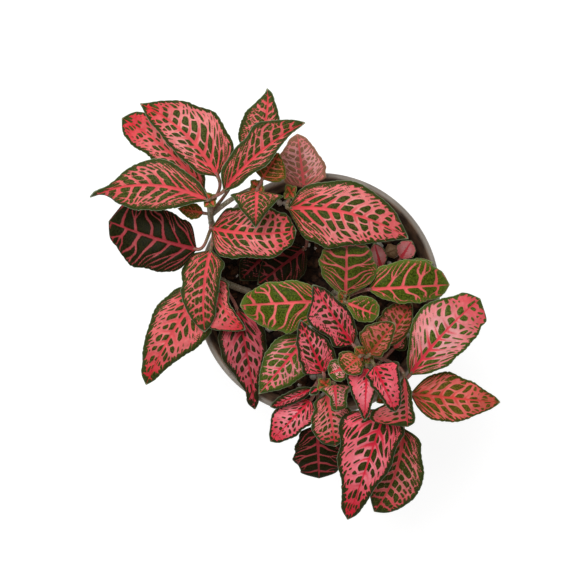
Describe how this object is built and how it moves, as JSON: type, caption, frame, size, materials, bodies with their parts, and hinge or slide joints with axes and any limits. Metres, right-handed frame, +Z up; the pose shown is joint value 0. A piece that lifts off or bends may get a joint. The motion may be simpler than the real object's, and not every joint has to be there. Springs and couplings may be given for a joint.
{
  "type": "potted nerve plant",
  "caption": "Red and pink nerve plant with netted, pointed leaves on leaning shoots, rooted in soil in a small round tapered pot.",
  "frame": {"origin": "centre of the pot's flat foot, on the surface that it stands on", "axes": "+Z up through the pot, +X towards the shorter shoots on the right of the top view, +Y towards the back shoot"},
  "size_m": [0.1798, 0.1884, 0.1492],
  "materials": {
    "pot": "warm grey-brown moulded plastic, satin",
    "soil": "dark damp peat mix with bark chunks and perlite",
    "stem": "grey-brown, finely hairy",
    "pink_leaf": "coral pink veins and flush over dark green islands, dark green toothed margin",
    "pale_leaf": "pale pink centre, pink veins, small green islands",
    "crimson_leaf": "strong crimson pink with small dark islands and a dark margin",
    "coral_leaf": "coral and orange young blade with fine green speckles",
    "netted_leaf": "pink net of veins on dark green",
    "shaded_leaf": "dim red veins on very dark green",
    "green_leaf": "mid green with sparse thin pink veins and a yellow-green margin",
    "young_leaf": "orange-brown young blade",
    "dry_leaf": "dry, brown and papery"
  },
  "bodies": {
    "root": {"back_leaf_1": "pink_leaf", "back_leaf_2": "pale_leaf", "back_leaf_3": "shaded_leaf", "back_shoot_stem": "stem", "centre_leaf_1": "green_leaf", "centre_leaf_2": "green_leaf", "centre_leaf_3": "green_leaf", "centre_leaf_4": "green_leaf", "centre_leaf_5": "pale_leaf", "centre_shoot_stem": "stem", "dry_leaf": "dry_leaf", "front_leaf_1": "crimson_leaf", "front_leaf_2": "shaded_leaf", "front_leaf_3": "crimson_leaf", "front_leaf_4": "crimson_leaf", "front_leaf_5": "pink_leaf", "front_leaf_6": "pale_leaf", "front_leaf_7": "crimson_leaf", "front_shoot_stem": "stem", "left_branch": "stem", "left_leaf_1": "pink_leaf", "left_leaf_10": "shaded_leaf", "left_leaf_11": "young_leaf", "left_leaf_12": "netted_leaf", "left_leaf_2": "pink_leaf", "left_leaf_3": "netted_leaf", "left_leaf_4": "shaded_leaf", "left_leaf_5": "netted_leaf", "left_leaf_6": "pink_leaf", "left_leaf_7": "netted_leaf", "left_leaf_8": "netted_leaf", "left_leaf_9": "young_leaf", "left_shoot_stem": "stem", "low_left_leaf_1": "pink_leaf", "low_left_leaf_2": "pink_leaf", "low_left_leaf_3": "crimson_leaf", "low_left_shoot_stem": "stem", "pot": "pot", "potting_soil": "soil", "right_leaf_1": "pale_leaf", "right_leaf_2": "coral_leaf", "right_leaf_3": "crimson_leaf", "right_leaf_4": "pink_leaf", "right_leaf_5": "pink_leaf", "right_shoot_stem": "stem", "rosette_leaf_1": "crimson_leaf", "rosette_leaf_2": "coral_leaf", "rosette_leaf_3": "coral_leaf", "rosette_leaf_4": "pale_leaf", "rosette_leaf_5": "crimson_leaf", "rosette_leaf_6": "crimson_leaf", "rosette_leaf_7": "coral_leaf", "rosette_leaf_8": "pink_leaf", "rosette_shoot_stem": "stem", "seedling_leaf_1": "pale_leaf", "seedling_leaf_2": "green_leaf", "seedling_leaf_3": "pale_leaf", "seedling_stem": "stem"}
  },
  "joints": []
}
